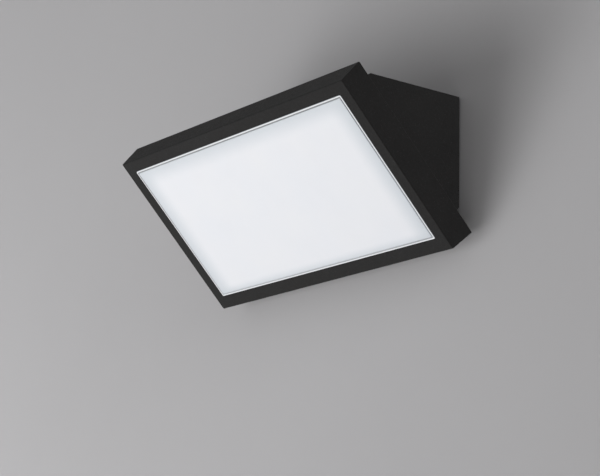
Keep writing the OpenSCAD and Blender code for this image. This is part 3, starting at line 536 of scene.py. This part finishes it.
def diffuser():
    """Opal moulding: flange behind the bezel, a bright cut rim in the window, a groove and the lit crown."""
    bm = bmesh.new()
    layer = bm.verts.layers.float.new("glow")
    half = HEAD_W / 2 - BEZEL_SIDE - DIFFUSER_GAP
    low, high = BEZEL_BOTTOM + DIFFUSER_GAP, HEAD_H - BEZEL_TOP - DIFFUSER_GAP

    def ring(inset, depth, glow, r):
        """A ring of one glow, or in the groove, where that is 0, of one that grows from its corner, as
        painted shade darkest at the top right.
        """
        verts = new_ring(bm, rect_loop(half - inset, low + inset, high - inset, r, depth))
        corner = verts[3].co.z
        for v in verts:
            down, left = (corner - v.co.z) / (HEAD_H / 1000), 0.5 - v.co.x * 1000 / HEAD_W
            v[layer] = glow or GROOVE_DOWN * down + GROOVE_LEFT * left
        return verts

    crown = RIM_W + GROOVE_W
    # (inset from the diffuser's edge in the window, depth, glow), from the flange's back to the crown
    rows = [(-1.4, 5.3, 0.3), (-1.4, 3.5, 0.3), (0.0, 3.5, 0.3), (0.0, 0.50, 0.5),
            (0.05, 0.14, 1.2), (0.14, 0.06, 1.8), (RIM_W - 0.10, 0.05, 1.8), (RIM_W - 0.02, 0.08, 0.9),
            (RIM_W + 0.03, 0.26, 0.0), (crown - 0.10, 0.26, 0.0), (crown - 0.02, 0.10, 0.6),
            (crown + 0.10, -0.03, 0.95), (crown + 0.5, -0.085, 1.0), (6.0, -0.09, 1.0), (40.0, -0.09, 1.0)]
    front = [ring(inset, depth, glow, max(WINDOW_R - inset, 0.3)) for inset, depth, glow in rows]
    hollow = [ring(3.0, depth, glow, 1.0) for depth, glow in ((1.9, 0.3), (5.3, 0.2))]
    skin(bm, front)
    skin(bm, hollow + front[:1])
    bm.faces.new(list(reversed(front[-1])))
    bm.faces.new(hollow[0])
    add_piece("diffuser_moulding", bm, "opal", ["diffuser"])


# The turn between two faces that makes them one flat face, an edge or a square edge
FLAT_TURN, EDGE_TURN, SQUARE_TURN = math.radians(0.6), math.radians(28), math.radians(60)


def softened(node, name, slot, width, pick, segments=3):
    """A copy of a node's mesh, cleaned to whole faces, with chosen sharp edges rounded."""
    bm = bmesh.new()
    bm.from_mesh(nodes[node].data)
    bmesh.ops.remove_doubles(bm, verts=bm.verts, dist=2e-6)
    bmesh.ops.dissolve_limit(bm, angle_limit=FLAT_TURN, verts=bm.verts, edges=bm.edges, delimit={"NORMAL"})
    edges = [e for e in bm.edges if len(e.link_faces) == 2 and e.calc_face_angle(0) > EDGE_TURN and pick(e)]
    bmesh.ops.bevel(bm, geom=edges, offset=width / 1000, segments=segments, profile=0.5,
                    affect="EDGES", clamp_overlap=True)
    add_piece(name, bm, slot, [node], 30)


def outside_of_housing(e):
    """Long edges on the outside of the wedge, found by the two planes that they lie in."""
    mid = (e.verts[0].co + e.verts[1].co) / 2 * 1000
    h = -(mid.y - HEAD_Y) * SIN + (mid.z - HEAD_Z) * COS
    off = (abs(mid.x) - HOUSING_W / 2, mid.z - HOUSING_TOP, h - COLLAR_TOP, h - COLLAR_LOW, mid.y + RIM_GAP)
    shortest, on_plane = 4, 0.05
    return e.calc_length() * 1000 >= shortest and sum(abs(v) < on_plane for v in off) >= 2


def square_edge(e):
    return e.calc_face_angle(0) > SQUARE_TURN


def led_packages():
    """White bodies with a sunk window, in the board's grid."""
    bm = bmesh.new()
    lens = bm.verts.layers.float.new("lens")
    # (half length, half width, corner radius, height over the board, lens)
    rows = ((1.75, 1.40, 0.12, 0.0, 0), (1.75, 1.40, 0.12, 0.55, 0), (1.66, 1.31, 0.10, 0.70, 0),
            (1.32, 1.02, 0.30, 0.70, 0), (1.26, 0.96, 0.28, 0.60, 1), (0.80, 0.60, 0.28, 0.64, 1))
    for i in range(LED_COLS):
        for j in range(LED_ROWS):
            x, h = -LED_X + i * LED_PITCH_X, BOARD_MID - LED_H + j * LED_PITCH_H
            rings = []
            for half_l, half_w, r, up, glass in rows:
                points = rect_loop(half_l, h - half_w, h + half_w, r, BOARD_FRONT - up, seg=2, x=x)
                rings.append(new_ring(bm, points))
                for v in rings[-1]:
                    v[lens] = glass
            skin(bm, rings)
            bm.faces.new(rings[0])
            bm.faces.new(list(reversed(rings[-1])))
    add_piece("led_package_bodies", bm, "led_phosphor", ["led_packages"], 40)


def frame_screws():
    bm = bmesh.new()
    for x, h in FRAME_BOSSES:
        socket_screw(bm, on_slope(x, h, HEAD_T, 1), head_d=4.6, head_h=1.8, shank_d=2.5, shank_l=10.0,
                     socket_r=0.95, dip=0.16, depth=0.9, dome=0.5)
    add_piece("frame_screws_lobed", bm, "stainless", ["frame_screws"])


def cover_screws():
    bm = bmesh.new()
    for x in (-COVER_X, COVER_X):
        place = along((x, COVER_Y, HOUSING_TOP - COVER_HEAD_H), (0, 0, 1))
        socket_screw(bm, place, head_d=7.6, head_h=COVER_HEAD_H, shank_d=4.0, shank_l=10.0,
                     socket_r=1.25, dip=0, depth=1.4, dome=0.45)
    add_piece("cover_screws_hex", bm, "black_screw", ["cover_screws"])


def bracket_rivets():
    """Domed rivets, two on each lug and each hook."""
    bm = bmesh.new()
    # (radius, distance from the wall)
    rivet = [(0, 0.2), (1.25, 0.2), (1.5, 0.45), (1.5, 4.0), (2.4, 4.0), (2.5, 4.15), (2.35, 4.6),
             (1.8, 5.0), (0.9, 5.18), (0, 5.2)]
    for lug in (-COVER_X, COVER_X):
        for x in (lug - RIVET_SIDE, lug + RIVET_SIDE):
            for z in (RIVET_LOW, RIVET_HIGH):
                lathe(bm, rivet, along((x, 0, z), (0, -1, 0)), 32)
    add_piece("rivets_domed", bm, "stainless", ["bracket_rivets"], 50)


def cable_inlet():
    """Rubber inlet with a flange on each side of the wall plate's sheet, and a nozzle."""
    bm = bmesh.new()
    flange, neck, nozzle, bore = 13.0, 9.95, 5.5, 3.5
    # Distances from the wall: the first flange's back, the sheet's two faces, the second flange's front,
    # and the nozzle's root and end
    back, sheet_back, sheet_front, front, root, end = 0.9, 2.5, 4.5, 6.1, 7.6, 12.1
    profile = rounded_profile([
        (bore, back, 0.25), (flange, back, 0.5), (flange, sheet_back, 0.25), (neck, sheet_back, 0),
        (neck, sheet_front, 0), (flange, sheet_front, 0.25), (flange, front, 0.5),
        (nozzle + 1.2, front, 0.5), (nozzle, root, 0.6), (nozzle - 0.25, end, 0.35), (bore, end, 0.25)], True)
    lathe(bm, profile, along((0, 0, 0), (0, -1, 0)), 56, closed=True)
    add_piece("cable_inlet_moulding", bm, "black_rubber", ["cable_grommet"], 40)


front_frame()
diffuser()
softened("rear_housing", "housing_casting", "black_paint", 0.7, outside_of_housing)
softened("wall_plate", "wall_plate_pressed", "zinc_plate", 0.25, square_edge, 2)
softened("driver_case", "driver_case_moulding", "driver_plastic", 0.5, square_edge)
softened("terminal_block", "terminal_block_moulding", "block_plastic", 0.2, square_edge, 2)
softened("board_connector", "board_connector_moulding", "white_plastic", 0.15, square_edge, 2)
led_packages()
frame_screws()
cover_screws()
bracket_rivets()
cable_inlet()


# Stage: wall and floor, in metres
STAGE, FLOOR_FRONT, FLOOR_Z, WALL_Y = 4.0, -5.0, -1.45, 0.0006
WALL_COLOR, FLOOR_COLOR, FLOOR_SHOWN = (0.50, 0.495, 0.505), (0.78, 0.77, 0.76), 0.35


def stage_plane(name, corners, color):
    mesh = bpy.data.meshes.new(name)
    mesh.from_pydata(corners, [], [(0, 1, 2, 3)])
    obj = bpy.data.objects.new(name, mesh)
    scene.collection.objects.link(obj)
    m = Mat(name)
    m.set(Base_Color=m.mix(m.spread(m.noise(3, 4, 0.6), 0, 1), tuple(0.97 * v for v in color), color),
          Roughness=m.spread(m.noise(40, 3, 0.5), 0.85, 0.95), Specular_IOR_Level=0.1)
    mesh.materials.append(m.mat)
    return m


def background_rays(tree):
    """1 for rays that show the background: the camera's own, and those in gloss or through glass."""
    path = tree.nodes.new("ShaderNodeLightPath").outputs
    shown = path["Is Camera Ray"]
    for kind in ("Is Glossy Ray", "Is Transmission Ray"):
        n = tree.nodes.new("ShaderNodeMath")
        n.operation = "MAXIMUM"
        tree.links.new(shown, n.inputs[0])
        tree.links.new(path[kind], n.inputs[1])
        shown = n.outputs[0]
    return shown


wall = stage_plane("wall", [(-STAGE, WALL_Y, FLOOR_Z), (STAGE, WALL_Y, FLOOR_Z), (STAGE, WALL_Y, STAGE),
                            (-STAGE, WALL_Y, STAGE)], WALL_COLOR)
floor = stage_plane("floor", [(-STAGE, FLOOR_FRONT, FLOOR_Z), (STAGE, FLOOR_FRONT, FLOOR_Z),
                              (STAGE, STAGE, FLOOR_Z), (-STAGE, STAGE, FLOOR_Z)], FLOOR_COLOR)

# The floor shows as pale as its colour, whatever light reaches it
floor.set(Emission_Color=(*FLOOR_COLOR, 1),
          Emission_Strength=floor.math("MULTIPLY", background_rays(floor.tree), FLOOR_SHOWN))

# The wall is a backdrop: only its front shows, and light passes it, so the light's back can be looked at too
front = wall.math("SUBTRACT", 1.0, wall.node("NewGeometry").outputs["Backfacing"])
mixer = wall.node("MixShader", Fac=wall.math("MULTIPLY", background_rays(wall.tree), front))
wall.feed(mixer.inputs[1], wall.node("BsdfTransparent").outputs[0])
wall.feed(mixer.inputs[2], wall.bsdf.outputs[0])
wall.feed(wall.tree.nodes["Material Output"].inputs["Surface"], mixer.outputs[0])

# Lamps: (name, place, size, power); each looks at the origin
LAMPS = [
    ("key", (-1.0, -1.6, -0.9), 1.4, 17),
    ("low_left", (-1.2, -0.8, -0.8), 1.0, 10),
    ("right", (2.0, -0.2, 0.4), 1.2, 12),
    ("top", (-0.2, 1.0, 1.4), 1.2, 17),
    ("back_left", (-1.3, 1.4, 0.4), 1.1, 12),
    ("back_right", (0.4, 1.6, 0.3), 1.1, 9),
]
for name, place, size, power in LAMPS:
    light = bpy.data.lights.new(name, "AREA")
    light.shape = "SQUARE"
    light.size = size
    light.energy = power
    lamp = bpy.data.objects.new(name, light)
    scene.collection.objects.link(lamp)
    lamp.location = place
    lamp.rotation_euler = (-Vector(place)).to_track_quat("-Z", "Y").to_euler()

# World: its strength as light, and as the background that shows
WORLD_LIGHT, WORLD_SHOWN = 0.27, 0.60
world = bpy.data.worlds.new("studio")
scene.world = world
world.use_nodes = True
tree = world.node_tree
strength = tree.nodes.new("ShaderNodeMapRange")
strength.inputs["To Min"].default_value = WORLD_LIGHT
strength.inputs["To Max"].default_value = WORLD_SHOWN
background = tree.nodes["Background"]
background.inputs["Color"].default_value = (1.0, 1.0, 1.0, 1)
tree.links.new(background_rays(tree), strength.inputs["Value"])
tree.links.new(strength.outputs["Result"], background.inputs["Strength"])

# Camera, fitted to the light's corners in the photo
CAMERA_PLACE = (0.917021, -0.723464, -0.320627)
CAMERA_DEGREES = (103.8726, -1.2487, 52.8655)
camera = bpy.data.cameras.new("camera")
camera.lens, camera.sensor_width = 120.426, 36.0
camera.clip_start, camera.clip_end = 0.05, 50
viewer = bpy.data.objects.new("camera", camera)
scene.collection.objects.link(viewer)
viewer.location = CAMERA_PLACE
viewer.rotation_euler = [math.radians(v) for v in CAMERA_DEGREES]
scene.camera = viewer

scene.view_settings.view_transform = "Standard"
